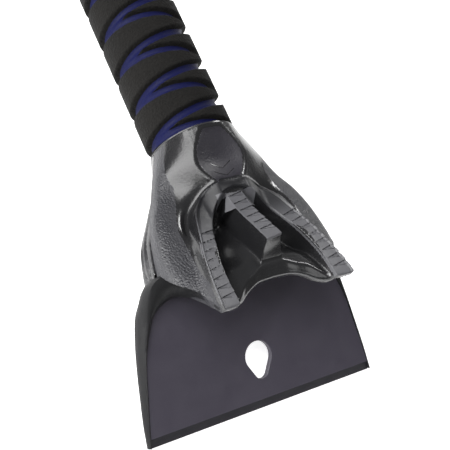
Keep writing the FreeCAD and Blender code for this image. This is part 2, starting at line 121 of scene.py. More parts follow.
# Heights along the head: (forward, height).
RIB_OUTER_TOP = [(24, 10.6), (28, 11.2), (32, 12.2), (36, 13.1), (40, 14.1), (48, 15.9), (56, 17.6),
                 (64, 19.3), (72, 20.9), (77, 21.3)]
RIB_INNER_TOP = [(24, 10.6), (28, 11.0), (34, 11.6), (40, 12.4), (48, 14.6), (56, 16.4), (64, 18.2),
                 (72, 19.7), (77, 20.1)]
CENTRE_TOP = [(24, 12.6), (29.6, 13.4), (39.4, 16.9), (47.0, 21.4), (55.4, 26.1), (60, 28.6)]
# Front face of the centre rib: (height, forward).
CENTRE_FRONT = [(14.0, 63.4), (16.0, 61.9), (18.1, 60.6), (21.0, 58.4), (26.1, 55.4), (30.0, 53.2)]
# Floor of the bowls on the middle plane: (forward, height).
BOWL_FLOOR = [(27, 0.6), (34, 0.4), (37.7, 1.4), (42.2, 5.0), (48.1, 9.3), (53.5, 12.9), (58.0, 15.3),
              (61.0, 16.5), (62.3, 17.0), (63.2, 16.9), (65.0, 15.9), (67.6, 14.6), (72.0, 12.0)]
# How far the bowls' floor and lip move forward, off the middle plane: (across, forward).
LIP_SET_BACK = [(0, 0.0), (6.3, 0.6), (9.4, 2.3), (15.9, 5.6), (18.3, 8.2), (22.0, 11.6), (30.0, 14.0)]
# Floor of the thumb scoop on the middle plane: (forward, height).
SCOOP_FLOOR = [(-2, 19.9), (0, 19.2), (2, 17.9), (5, 16.6), (10, 14.5), (15, 13.3), (20, 13.7), (25, 15.2),
               (28, 16.4)]
# Rise of the scoop's floor off the middle plane, per square millimetre across.
SCOOP_CURVE = 0.0176


# ---- Smooth curves ----

def flow(stations, values, at):
    """Values on a smooth curve through (station, value); a value may be a row of numbers."""
    stations = np.asarray(stations, float)
    values = np.asarray(values, float)
    slopes = np.gradient(values, stations, axis=0)
    at = np.clip(at, stations[0], stations[-1])
    i = np.clip(np.searchsorted(stations, at, side="right") - 1, 0, len(stations) - 2)
    width = stations[i + 1] - stations[i]
    t = (at - stations[i]) / width
    if values.ndim > 1:
        width = width[:, None]
        t = t[:, None]
    straight = values[i] * (1 - t) ** 2 * (1 + 2 * t) + values[i + 1] * t ** 2 * (3 - 2 * t)
    return straight + width * (slopes[i] * t * (1 - t) ** 2 - slopes[i + 1] * t ** 2 * (1 - t))


def along(table, at):
    """Value of a two-column table at each point."""
    stations, values = zip(*table)
    return flow(stations, values, at)


def fine_line(points, count=90):
    """A smooth plan line through the points, as an array of many points."""
    points = np.array(points, float)
    length = np.concatenate([[0], np.cumsum(np.hypot(*np.diff(points, axis=0).T))])
    return flow(length, points, np.linspace(0, length[-1], count))


def step_up(low, high, value):
    """Rises smoothly from 0 at low to 1 at high."""
    t = np.clip((value - low) / (high - low), 0, 1)
    return t * t * (3 - 2 * t)


def blend_rows(points, samples):
    """Weights that turn a row of control points into a smooth line, for across and for height.

    The line meets the middle plane squarely: its last control point is mirrored across it.
    """
    rows = {}
    for name, mirror in (("across", -1.0), ("height", 1.0)):
        count = len(points)
        ghost = np.eye(count)
        before = 2 * ghost[0] - ghost[1]
        after = mirror * ghost[-2]
        chain = np.vstack([before, ghost, after])
        lines = []
        for i in range(count - 1):
            a, b, c, d = chain[i:i + 4]
            for t in np.linspace(0, 1, samples, endpoint=False):
                lines.append(0.5 * (2 * b + (c - a) * t + (2 * a - 5 * b + 4 * c - d) * t ** 2
                                    + (3 * b - a - 3 * c + d) * t ** 3))
        lines.append(ghost[-1])
        rows[name] = np.array(lines)
    return rows


# ---- Signed distances: negative inside ----

def union(a, b, fillet):
    """Join of two solids with a fillet of about that radius."""
    h = np.maximum(fillet - np.abs(a - b), 0) / fillet
    return np.minimum(a, b) - h * h * fillet / 4


def common(a, b, rounding=0.02):
    """What two solids share, with the new edge rounded."""
    return -union(-a, -b, rounding)


def line_distance(px, py, line):
    """Distance from points to a line of points; the line may differ for each point."""
    ax, ay = line[..., :-1, 0], line[..., :-1, 1]
    bx, by = line[..., 1:, 0], line[..., 1:, 1]
    dx, dy = bx - ax, by - ay
    qx, qy = px[:, None] - ax, py[:, None] - ay
    t = np.clip((qx * dx + qy * dy) / np.maximum(dx * dx + dy * dy, 1e-9), 0, 1)
    return np.sqrt(np.min((qx - t * dx) ** 2 + (qy - t * dy) ** 2, axis=1))


def behind(x, forward, line):
    """Signed plan distance from a line that runs outwards: negative on the collar's side."""
    distance = line_distance(x, forward, line)
    return np.where(forward > np.interp(x, line[:, 0], line[:, 1]), distance, -distance)


def inside_section(x, z, forward, stations, sections, weights, upward):
    """Signed distance from a lofted half section, measured in the cross plane."""
    table = np.array(sections, float).reshape(len(sections), -1)
    points = flow(stations, table, forward).reshape(len(x), -1, 2)
    across = points[:, :, 0] @ weights["across"].T
    height = points[:, :, 1] @ weights["height"].T
    foot = -40.0 if upward else 40.0
    line = np.empty((len(x), across.shape[1] + 1, 2))
    line[:, 0, 0] = across[:, 0]
    line[:, 0, 1] = foot
    line[:, 1:, 0] = across
    line[:, 1:, 1] = height
    ax, az = line[:, :-1, 0], line[:, :-1, 1]
    bx, bz = line[:, 1:, 0], line[:, 1:, 1]
    spans = (az > z[:, None]) != (bz > z[:, None])
    rise = np.where(spans, bz - az, 1.0)
    hits = spans & (x[:, None] < ax + (z[:, None] - az) * (bx - ax) / rise)
    inside = hits.sum(axis=1) % 2 == 1
    distance = line_distance(x, z, line)
    return np.where(inside, -distance, distance)


# ---- Surfaces from signed distances ----

# Blocks of this many cells are tested first. A crossing is found in this many steps, and its normal
# is measured over twice the probe's length.
BLOCK = 4
CROSSING_STEPS = 5
PROBE = 0.03
# Normals that agree to within this share of their strongest direction don't move a corner.
FLAT_SHARE = 0.06


def sample(field, points, chunk=40000):
    """Field values at many points, a chunk at a time to keep the arrays small."""
    return np.concatenate([field(points[i:i + chunk]) for i in range(0, len(points), chunk)])


def grid_values(field, low, counts, step):
    """Field values on a grid. Far from the surface only their sign is worked out."""
    blocks = -(-counts // BLOCK)
    centre = (BLOCK - 1) / 2 * step
    index = np.stack(np.meshgrid(*[np.arange(n) for n in blocks], indexing="ij"), -1).reshape(-1, 3)
    rough = sample(field, low + index * BLOCK * step + centre)

    def spread(block_values):
        cells = np.repeat(block_values, BLOCK ** 3).reshape(*blocks, BLOCK, BLOCK, BLOCK)
        return cells.transpose(0, 3, 1, 4, 2, 5).reshape(*(blocks * BLOCK)).copy()

    values = spread(rough)
    close = np.argwhere(spread(np.abs(rough) < 1.9 * BLOCK * step))
    values[tuple(close.T)] = sample(field, low + close * step)
    return values


def crossings(field, values, low, step, axis):
    """Where grid edges along one axis pass through the surface, with normals."""
    head = [slice(None)] * 3
    tail = [slice(None)] * 3
    head[axis] = slice(0, -1)
    tail[axis] = slice(1, None)
    inside = values < 0
    cut = np.argwhere(inside[tuple(head)] != inside[tuple(tail)])
    unit = np.eye(3)[axis]
    a = low + cut * step
    b = a + unit * step
    fa = values[tuple(cut.T)]
    fb = values[tuple((cut + unit.astype(int)).T)]
    into = fa > 0
    for _ in range(CROSSING_STEPS):
        share = np.clip(fa / (fa - fb), 0.1, 0.9)[:, None]
        middle = a + (b - a) * share
        fm = sample(field, middle)
        same = (fm < 0) == (fa < 0)
        a = np.where(same[:, None], middle, a)
        fa = np.where(same, fm, fa)
        b = np.where(same[:, None], b, middle)
        fb = np.where(same, fb, fm)
    spot = a + (b - a) * np.clip(fa / (fa - fb), 0, 1)[:, None]
    nudges = np.eye(3) * PROBE
    normal = np.stack([sample(field, spot + e) - sample(field, spot - e) for e in nudges], 1)
    normal /= np.maximum(np.linalg.norm(normal, axis=1), 1e-9)[:, None]
    return cut, spot, normal, into


def surface(field, low, high, step):
    """Dual contouring: quads on the zero surface, keeping its sharp edges."""
    low = np.array(low, float)
    counts = np.ceil((np.array(high) - low) / step).astype(int) + 1
    counts = -(-counts // BLOCK) * BLOCK
    values = grid_values(field, low, counts, step)
    shape = values.shape
    cells, spots, normals, quads = [], [], [], []
    for axis in range(3):
        cut, spot, normal, into = crossings(field, values, low, step, axis)
        u, v = np.eye(3, dtype=int)[[(axis + 1) % 3, (axis + 2) % 3]]
        ring = [cut - u - v, cut - v, cut, cut - u]
        flat = [np.ravel_multi_index(tuple(c.T), shape, mode="clip") for c in ring]
        for c in flat:
            cells.append(c)
            spots.append(spot)
            normals.append(normal)
        quad = np.stack(flat, 1)
        quads.append(np.where(into[:, None], quad[:, ::-1], quad))
    cells = np.concatenate(cells)
    spots = np.concatenate(spots)
    normals = np.concatenate(normals)
    used, place_of = np.unique(cells, return_inverse=True)
    count = np.bincount(place_of)
    total = [np.bincount(place_of, weights=spots[:, i]) / count for i in range(3)]
    middle = np.stack(total, 1)
    offset = np.einsum("ij,ij->i", normals, spots - middle[place_of])
    pull = np.stack([np.bincount(place_of, weights=normals[:, i] * offset) for i in range(3)], 1)
    square = np.empty((len(used), 3, 3))
    for i in range(3):
        for j in range(3):
            square[:, i, j] = np.bincount(place_of, weights=normals[:, i] * normals[:, j])
    power, direction = np.linalg.eigh(square)
    keep = power > FLAT_SHARE * power[:, 2:3]
    inverse = np.where(keep, 1 / np.maximum(power, 1e-9), 0)
    turned = np.einsum("nji,nj->ni", direction, pull) * inverse
    shift = np.einsum("nij,nj->ni", direction, turned)
    corner = low + np.stack(np.unravel_index(used, shape), 1) * step
    points = np.clip(middle + shift, corner, corner + step)
    faces = np.searchsorted(used, np.concatenate(quads))
    return points, faces


# ---- Placing pieces ----

# The blade's lower front edge, which the tool lies on together with the end cap.
EDGE = np.array([0, -BLADE_REACH + BLADE_THICKNESS * math.sin(BLADE_PITCH),
                 -BLADE_DROP - BLADE_THICKNESS * math.cos(BLADE_PITCH)])
TILT = math.atan2(-CAP_RADIUS - EDGE[2], CAP_END - CAP_EDGE - EDGE[1])


def from_blade(points):
    """Working-frame points from (across, up the blade, out of its top face)."""
    x, up, out = np.asarray(points, float).T
    y = up * math.cos(BLADE_PITCH) - out * math.sin(BLADE_PITCH) - BLADE_REACH
    z = up * math.sin(BLADE_PITCH) + out * math.cos(BLADE_PITCH) - BLADE_DROP
    return np.stack([x, y, z], 1)


def tilted(points):
    """Points turned about X so that the blade's edge and the end cap rest on one level."""
    x, y, z = np.asarray(points, float).T
    ahead = y * math.cos(TILT) + z * math.sin(TILT)
    up = z * math.cos(TILT) - y * math.sin(TILT)
    return np.stack([x, ahead, up], 1)


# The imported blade's box gives the front of its lip and the height of its lower edge.
LIP = tilted(from_blade([(0, 0, BEVEL_LIP - BLADE_THICKNESS)]))[0]
HEEL = tilted([EDGE])[0]
BLADE_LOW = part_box("blade")[0]
SHIFT = np.array([0, BLADE_LOW[1] * 1000 - LIP[1], BLADE_LOW[2] * 1000 - HEEL[2]])


def place(points):
    """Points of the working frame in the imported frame, metres."""
    return (tilted(points) + SHIFT) / 1000


def make_piece(name, points, faces, materials, zones=None, sharp=32.0):
    """A mesh object from working-frame points, riding on the frame."""
    mesh = bpy.data.meshes.new(name)
    mesh.from_pydata(place(points).tolist(), [], [list(map(int, f)) for f in faces])
    for material in materials:
        mesh.materials.append(material)
    if zones is not None:
        mesh.polygons.foreach_set("material_index", np.asarray(zones, np.int32))
    mesh.update()
    piece = bpy.data.objects.new(name, mesh)
    bpy.context.scene.collection.objects.link(piece)
    work = bmesh.new()
    work.from_mesh(mesh)
    bmesh.ops.recalc_face_normals(work, faces=work.faces)
    work.to_mesh(mesh)
    work.free()
    mesh.shade_smooth()
    mesh.set_sharp_from_angle(angle=math.radians(sharp))
    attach(piece, "root")
    return piece


# ---- Head: upper shell and chipper crown ----

UPPER_WEIGHTS = blend_rows(UPPER_SECTIONS[0], 5)
LOWER_WEIGHTS = blend_rows(LOWER_SECTIONS[0], 5)
OUTSIDE = fine_line(ARCH_OUTSIDE)
INSIDE = fine_line(ARCH_INSIDE)
FRONT = fine_line(HEAD_FRONT)
CHEEKS = fine_line(CHEEK_FRONT)
# Foot of the wall under each side rib: (forward, height).
WALL_FOOT = [(50, -9.0), (58.0, -8.0), (60.5, -2.0), (64.0, 3.0), (68.0, 8.5), (72.5, 14.0), (75.0, 17.2),
             (77.0, 18.6)]
# Back of the blade's tray, and the lower shell's rim ahead of the cheeks.
TRAY = fine_line([(0, 42.8), (29.4, 43.0), (34.0, 45.2), (39.6, 50.2), (44.4, 56.2), (47.4, 62.4),
                  (50.0, 80.0)])
CRADLE_RIM = [(48.0, 0.9), (51.5, 0.4), (54.0, -2.0), (58.0, -5.6), (64.0, -10.5)]
CRADLE_FRONT = 64.0
WALL_INSIDE = 26.6
WALL_OUTSIDE = 30.6
CROWN_BACK = 28.0
CLAMP_BACK = 41.0
CLAMP_FRONT = 50.0
# The tray's underside below the blade's top face, and the crown's margin outside the arch.
TRAY_BELOW = 5.85
CROWN_MARGIN = 2.6
CROWN_WALL = 2.7
CENTRE_HALF = 3.8
CREST_HEIGHT = 15.4
SCOOP_END = 28.0
# Screw recesses in the lower shell: (across, forward of the collar, height of the floor).
RECESS_RADIUS = 3.45
RECESSES = [(0, 9.0, -16.6), (0, 18.0, -16.6), (24.0, 30.0, -13.7)]
# The blade screw's recess, square to the blade: (across, up the blade, depth below its top face).
BLADE_RECESS = (20.0, 64.5, -13.0)
# Lengthwise flutes along the cradle, as shares of the depth of its side.
FLUTES = [0.16, 0.31, 0.46, 0.61]
FLUTE_DEPTH = 0.4


def blade_face_height(forward):
    """Height of the blade's top face."""
    return (BLADE_REACH - forward) * math.tan(BLADE_PITCH) - BLADE_DROP


def notches(across, forward, teeth):
    """Depth of saw notches: a wedge that opens to the right, steep at its back and ramped in front."""
    depth = np.zeros_like(across)
    open_by = np.clip((across - 0.08) / 0.92, 0, 1)
    deepest = 0.2 * step_up(0, 0.12, open_by) + 0.4 * open_by
    for tooth in teeth:
        back = tooth - 0.1 - 1.3 * open_by
        front = tooth + 0.2 + 0.8 * open_by
        share = (front - forward) / (front - back)
        slot = 0.9 * np.clip(1 - (forward - back) / 0.6, 0, 1) * step_up(0, 0.1, open_by)
        nick = 0.6 * np.clip(1 - (front - forward) / 0.5, 0, 1) * step_up(0, 0.1, open_by)
        cut = np.maximum(np.maximum(slot, nick), deepest * share)
        depth = np.where((share > 0) & (share < 1), cut, depth)
    return depth


def arch_top(side, x, forward, teeth=SIDE_TEETH):
    """Top face of the arch: the two toothed ribs and the crest that joins them."""
    inner = np.interp(forward, INSIDE[:, 1], INSIDE[:, 0])
    outer = np.interp(forward, OUTSIDE[:, 1], OUTSIDE[:, 0])
    share = np.clip((x - inner) / np.maximum(outer - inner, 1e-9), -0.2, 1.2)
    rib = along(RIB_INNER_TOP, forward) * (1 - share) + along(RIB_OUTER_TOP, forward) * share
    rib = rib + 0.22 * np.exp(-((share - 0.96) / 0.05) ** 2) - 0.3 * np.exp(-((share - 0.86) / 0.04) ** 2)
    rib = rib - notches(np.where(side > 0, share, 1 - share), forward, teeth)
    crest = step_up(6.0, 14.5, x)
    return CREST_HEIGHT * (1 - crest) + rib * crest


def centre_rib(side, x, z, forward):
    """The toothed centre rib and the web that spreads from its foot to the arch."""
    top = along(CENTRE_TOP, forward)
    cut = notches((side + CENTRE_HALF) / (2 * CENTRE_HALF), forward, CENTRE_TEETH)
    rib = common(x - CENTRE_HALF - 0.07 * (top - z), z - top + cut, 0.25)
    skew = 0.2 * side * step_up(18, 25, z)
    rib = common(rib, forward + skew - along(CENTRE_FRONT, z), 0.4)
    web = common(z - top + np.clip(x - 3.5, 0, 20) * 0.8, forward - 37.2 + x * 0.1, 0.3)
    web = common(web, 3.5 - x)
    web = common(web, x - CENTRE_HALF - 0.5 * np.clip(forward - 29.5, 0, 8), 0.3)
    return common(union(rib, web, 0.3), 25.6 - forward, 0.2)


def underside(x, forward, floor):
    """Lowest height of the crown: closed down to the blade at the clamp, hollow in front of it."""
    lean = step_up(20.5, 23.5, x)
    ceiling = (floor - CROWN_WALL) * (1 - lean) + (along(RIB_INNER_TOP, forward) - CROWN_WALL) * lean
    hood = np.where(x > WALL_INSIDE, along(WALL_FOOT, forward), ceiling)
    clamp = np.where(forward < CLAMP_BACK, -3.0, blade_face_height(forward) + 0.1)
    low = np.where(forward < CLAMP_FRONT, clamp, hood)
    return np.where((x < WALL_OUTSIDE) & (forward > CROWN_BACK), low, SEAM + 0.15)


def head_field(points):
    """The whole upper head, before it is parted into shell and crown."""
    side, y, z = points.T
    x = np.abs(side)
    forward = -y
    body = inside_section(x, z, forward, UPPER_FORWARD, UPPER_SECTIONS, UPPER_WEIGHTS, True)
    scoop = z - along(SCOOP_FLOOR, forward) - SCOOP_CURVE * x * x
    body = common(body, np.where(forward < SCOOP_END, scoop, -50.0), 1.2)
    top = arch_top(side, x, forward)
    drop = np.clip(top - z, 0, 14)
    arch = common(-behind(x, forward, OUTSIDE) - 0.15 * drop, z - top, 0.25)
    head = union(body, arch, 2.4)
    floor = along(BOWL_FLOOR, forward - along(LIP_SET_BACK, x))
    sag = step_up(34, 40, forward) * (1 - step_up(52, 62, forward))
    floor = floor - 0.3 * np.clip(x - 4.5, 0, 20) * sag
    bowl = common(-behind(x, forward, INSIDE) + 0.33 * drop, floor - z, 1.6)
    head = common(head, -bowl, 0.6)
    head = union(head, centre_rib(side, x, z, forward), 1.6)
    head = common(head, behind(x, forward, FRONT), 1.0)
    raked = forward - CHEEK_RAKE * np.clip(z - 3, 0, 11)
    head = common(head, behind(x, raked, CHEEKS), 0.25)
    head = common(head, -forward, 0.3)
    return common(head, underside(x, forward, floor) - z, 0.3)


def crown_side(points):
    """Negative inside the crown's share of the head."""
    return -behind(np.abs(points[:, 0]), -points[:, 1], OUTSIDE) - CROWN_MARGIN


def crown_field(points):
    """Chipper crown: the arch, its ribs and its bowls."""
    return common(head_field(points), crown_side(points))


def shell_field(points):
    """Upper shell: what the crown leaves of the head."""
    return common(head_field(points), -crown_side(points))


def lower_field(points):
    """Lower shell: a bulged cradle with lengthwise flutes and screw recesses."""
    side, y, z = points.T
    x = np.abs(side)
    forward = -y
    body = inside_section(x, z, forward, LOWER_FORWARD, LOWER_SECTIONS, LOWER_WEIGHTS, False)
    down = (SEAM - z) / np.interp(forward, LOWER_FORWARD, [-section[2][1] for section in LOWER_SECTIONS])
    length = step_up(9, 16, forward) * (1 - step_up(50, 60, forward))
    for flute in FLUTES:
        body = body + FLUTE_DEPTH * length * np.exp(-((down - flute) / 0.03) ** 2)
    body = common(body, z - np.minimum(SEAM - SHELL_GAP, along(CRADLE_RIM, forward)), 0.3)
    tray = common(-behind(x, forward, TRAY), blade_face_height(forward) - TRAY_BELOW - z)
    body = common(body, -tray, 0.3)
    body = common(body, forward - CRADLE_FRONT, 2.0)
    body = common(body, -forward, 0.3)
    for across, away, depth in RECESSES:
        hole = common(np.hypot(x - across, forward - away) - RECESS_RADIUS, z - depth)
        body = common(body, -hole, 0.15)
    up = (BLADE_REACH - forward) * math.cos(BLADE_PITCH) + (z + BLADE_DROP) * math.sin(BLADE_PITCH)
    out = (z + BLADE_DROP) * math.cos(BLADE_PITCH) - (BLADE_REACH - forward) * math.sin(BLADE_PITCH)
    across, along_blade, depth = BLADE_RECESS
    hole = common(np.hypot(x - across, up - along_blade) - RECESS_RADIUS, out - depth)
    return common(body, -hole, 0.15)


# Places of the finishes in HEAD_FINISHES.
ON_CHEEK, ON_GLOSS, ON_SCOOP, ON_CENTRE_RIB, ON_ARCH = range(5)


def head_zones(points, faces):
    """Place in HEAD_FINISHES of each face's finish."""
    corners = points[faces]
    middle = corners.mean(axis=1)
    normal = np.cross(corners[:, 2] - corners[:, 0], corners[:, 3] - corners[:, 1])
    normal /= np.maximum(np.linalg.norm(normal, axis=1), 1e-9)[:, None]
    side, y, z = middle.T
    x = np.abs(side)
    forward = -y
    crease = flow(UPPER_FORWARD, [s[2][0] for s in UPPER_SECTIONS], forward)
    top = arch_top(side, x, forward, ())
    zones = np.where((x > crease + 0.3) & (z < top - 2.0), ON_CHEEK, ON_GLOSS)
    floor = along(SCOOP_FLOOR, forward) + SCOOP_CURVE * x * x
    on_scoop = (np.abs(z - floor) < 0.12) & (forward > 1.5) & (forward < 24.5) & (z > 10)
    zones = np.where(on_scoop, ON_SCOOP, zones)
    inner = np.interp(forward, INSIDE[:, 1], INSIDE[:, 0])
    outer = np.interp(forward, OUTSIDE[:, 1], OUTSIDE[:, 0])
    near_top = (z > top - 1.2) & (z < top + 0.6)
    on_arch = near_top & (x > inner - 0.3) & (x < outer + 0.3) & (forward > 24.2)
    web_top = along(CENTRE_TOP, forward) - 0.8 * np.clip(x - 3.5, 0, 6)
    on_centre = (x < 9) & (forward > 29) & (z > web_top - 1.2)
    facing = np.abs(normal[:, 2]) > 0.2
    zones = np.where(on_arch & facing, ON_ARCH, zones)
    return np.where(on_centre & facing, ON_CENTRE_RIB, zones)


# ---- Materials ----

def node(tree, kind, **values):
    """A new shader node, with its settings and socket values by name."""
    made = tree.nodes.new(kind)
    for key, value in values.items():
        if hasattr(made, key):
            setattr(made, key, value)
        else:
            made.inputs[key.replace("_", " ")].default_value = value
    return made


def finish(name, dark, light, rough, grain, bump=0.2, coat=0.0, coat_rough=0.1, specular=0.5, metal=0.0,
           sheen=0.0, cell=None, cell_bump=0.5, rough_spread=0.08):
    """A moulded or foamed finish: two close shades, uneven roughness and a fine bump, sizes in mm."""
    material = bpy.data.materials.new(name)
    material.use_nodes = True
    tree = material.node_tree
    shader = tree.nodes["Principled BSDF"]
    shader.inputs["Metallic"].default_value = metal
    shader.inputs["Specular IOR Level"].default_value = specular
    shader.inputs["Coat Weight"].default_value = coat
    shader.inputs["Coat Roughness"].default_value = coat_rough
    shader.inputs["Sheen Weight"].default_value = sheen
    shader.inputs["Sheen Roughness"].default_value = 0.5
    where = node(tree, "ShaderNodeTexCoord")
    fine = node(tree, "ShaderNodeTexNoise", Scale=1000 / grain, Detail=4.0, Roughness=0.6)
    broad = node(tree, "ShaderNodeTexNoise", Scale=1000 / (grain * 14), Detail=3.0)
    for texture in (fine, broad):
        tree.links.new(where.outputs["Object"], texture.inputs["Vector"])
    shade = node(tree, "ShaderNodeMix", data_type="RGBA")
    shade.inputs[6].default_value = (*dark, 1)
    shade.inputs[7].default_value = (*light, 1)
    both = node(tree, "ShaderNodeMath", operation="MULTIPLY_ADD")
    both.inputs[1].default_value = 0.5
    half = node(tree, "ShaderNodeMath", operation="MULTIPLY")
    half.inputs[1].default_value = 0.5
    tree.links.new(fine.outputs["Fac"], both.inputs[0])
    tree.links.new(broad.outputs["Fac"], half.inputs[0])
    tree.links.new(half.outputs[0], both.inputs[2])
    tree.links.new(both.outputs[0], shade.inputs[0])
    tree.links.new(shade.outputs[2], shader.inputs["Base Color"])
    spread = node(tree, "ShaderNodeMapRange")
    spread.inputs["From Min"].default_value = 0.3
    spread.inputs["From Max"].default_value = 0.7
    spread.inputs["To Min"].default_value = rough - rough_spread
    spread.inputs["To Max"].default_value = rough + rough_spread
    tree.links.new(broad.outputs["Fac"], spread.inputs["Value"])
    tree.links.new(spread.outputs["Result"], shader.inputs["Roughness"])
    relief = node(tree, "ShaderNodeBump", Strength=bump, Distance=0.0002)
    tree.links.new(fine.outputs["Fac"], relief.inputs["Height"])
    last = relief
    if cell:
        cells = node(tree, "ShaderNodeTexVoronoi", Scale=1000 / cell, feature="SMOOTH_F1")
        tree.links.new(where.outputs["Object"], cells.inputs["Vector"])
        pebble = node(tree, "ShaderNodeBump", Strength=cell_bump, Distance=0.0004, invert=True)
        tree.links.new(cells.outputs["Distance"], pebble.inputs["Height"])
        tree.links.new(relief.outputs["Normal"], pebble.inputs["Normal"])
        last = pebble
    tree.links.new(last.outputs["Normal"], shader.inputs["Normal"])
    return material


def paint_shade_along(material, back, front, dark):
    """Paints shade into a finish: its colour darkens towards a darker tone between two places along the
    tool, in metres.
    """
    tree = material.node_tree
    shader = tree.nodes["Principled BSDF"]
    where = node(tree, "ShaderNodeTexCoord")
    split = node(tree, "ShaderNodeSeparateXYZ")
    ramp = node(tree, "ShaderNodeMapRange", interpolation_type="SMOOTHSTEP")
    ramp.inputs["From Min"].default_value = back
    ramp.inputs["From Max"].default_value = front
    shade = node(tree, "ShaderNodeMix", data_type="RGBA")
    shade.inputs[6].default_value = (*dark, 1)
    tree.links.new(where.outputs["Object"], split.inputs[0])
    tree.links.new(split.outputs["Y"], ramp.inputs["Value"])
    tree.links.new(ramp.outputs["Result"], shade.inputs[0])
    tree.links.new(shader.inputs["Base Color"].links[0].from_socket, shade.inputs[7])
    tree.links.new(shade.outputs[2], shader.inputs["Base Color"])
    return material


GLOSS = finish("gloss_black", (0.010, 0.010, 0.011), (0.015, 0.015, 0.016), 0.22, 1.0, bump=0.35, coat=0.3,
               coat_rough=0.10, specular=0.6, rough_spread=0.05)
PEBBLE = finish("pebbled_black", (0.014, 0.014, 0.017), (0.042, 0.042, 0.048), 0.40, 0.6, bump=0.5,
                cell=0.7, cell_bump=0.6)
MATT = finish("matt_scoop", (0.012, 0.011, 0.015), (0.034, 0.032, 0.040), 0.38, 0.8, bump=0.9)
SATIN = finish("satin_black", (0.076, 0.076, 0.083), (0.106, 0.106, 0.115), 0.46, 0.6, bump=0.35)
# Painted shade: a copy of the satin finish for the arch top, whose colour darkens towards the back where
# the crest turns away from the light.
ARCH_TOP_SHADE_PAINTED = finish("satin_arch_painted_shade", (0.084, 0.084, 0.091), (0.116, 0.116, 0.124), 0.44, 0.6, bump=0.35)
paint_shade_along(ARCH_TOP_SHADE_PAINTED, -0.074, -0.088, (0.006, 0.006, 0.008))
# In the order of ON_CHEEK and the names after it.
HEAD_FINISHES = [PEBBLE, GLOSS, MATT, SATIN, ARCH_TOP_SHADE_PAINTED]
FRAME_BLACK = finish("frame_black", (0.008, 0.008, 0.009), (0.014, 0.014, 0.015), 0.45, 0.7, bump=0.5,
                     specular=0.2)
CRADLE = finish("cradle_black", (0.018, 0.018, 0.020), (0.028, 0.028, 0.030), 0.26, 0.8, bump=0.2, coat=0.3,
                coat_rough=0.2)
BLADE_FINISH = finish("blade_charcoal", (0.042, 0.037, 0.052), (0.052, 0.047, 0.064), 0.46, 0.5, bump=0.12)
# Painted shade: the front bevel is the blade's own plastic, given a darker colour because it faces away
# from the light.
BLADE_BEVEL_PAINTED_SHADE = finish("blade_bevel_painted_shade", (0.007, 0.006, 0.010), (0.011, 0.010, 0.015), 0.50, 0.5, bump=0.12,
                     specular=0.2)
RING = finish("ring_black", (0.020, 0.020, 0.022), (0.030, 0.030, 0.032), 0.25, 0.8, bump=0.1, coat=0.2)
FOAM_BLACK = finish("foam_black", (0.001, 0.001, 0.001), (0.018, 0.017, 0.016), 0.92, 0.9, bump=1.0,
                    specular=0.12, sheen=0.02, cell=0.9, cell_bump=0.9)
FOAM_BLUE = finish("foam_blue", (0.002, 0.003, 0.028), (0.005, 0.007, 0.058), 0.60, 0.7, bump=0.6,
                   specular=0.15, cell=0.6, cell_bump=0.3)
CAP_BLACK = finish("cap_black", (0.018, 0.018, 0.019), (0.030, 0.030, 0.031), 0.45, 0.7, cell=0.9,
                   cell_bump=0.3)
ALLOY = finish("tube_alloy", (0.50, 0.51, 0.53), (0.58, 0.59, 0.61), 0.32, 0.3, metal=1.0)
PLUG_GREY = finish("plug_grey", (0.10, 0.10, 0.11), (0.14, 0.14, 0.15), 0.5, 0.6)
STEEL = finish("screw_steel", (0.42, 0.42, 0.43), (0.50, 0.50, 0.51), 0.30, 0.3, metal=1.0)
FLOOR_WHITE = finish("floor_white", (0.90, 0.90, 0.90), (0.93, 0.93, 0.93), 0.75, 4.0, bump=0.02)


# ---- Pieces ----

# Cell size of each surface: (quick, full).
SHELL_CELL = (0.9, 0.6)
CROWN_CELL = (0.6, 0.36)
LOWER_CELL = (1.2, 0.7)


def add_head():
    """Upper shell, chipper crown and lower shell, each from its own field."""
    detail = 1
    points, faces = surface(shell_field, (-44, -84, -4), (44, 2, 24), SHELL_CELL[detail])
    shell = make_piece("upper_shell", points, faces, HEAD_FINISHES, head_zones(points, faces))
    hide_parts("head_upper_shell")
    points, faces = surface(crown_field, (-34, -79, -11), (34, -21, 30), CROWN_CELL[detail])
    crown = make_piece("chipper_arch", points, faces, HEAD_FINISHES, head_zones(points, faces))
    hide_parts("chipper_crown")
    points, faces = surface(lower_field, (-48, -67, -26), (48, 2, 4), LOWER_CELL[detail])
    lower = make_piece("lower_shell", points, faces, [CRADLE])
    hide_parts("head_lower_shell")


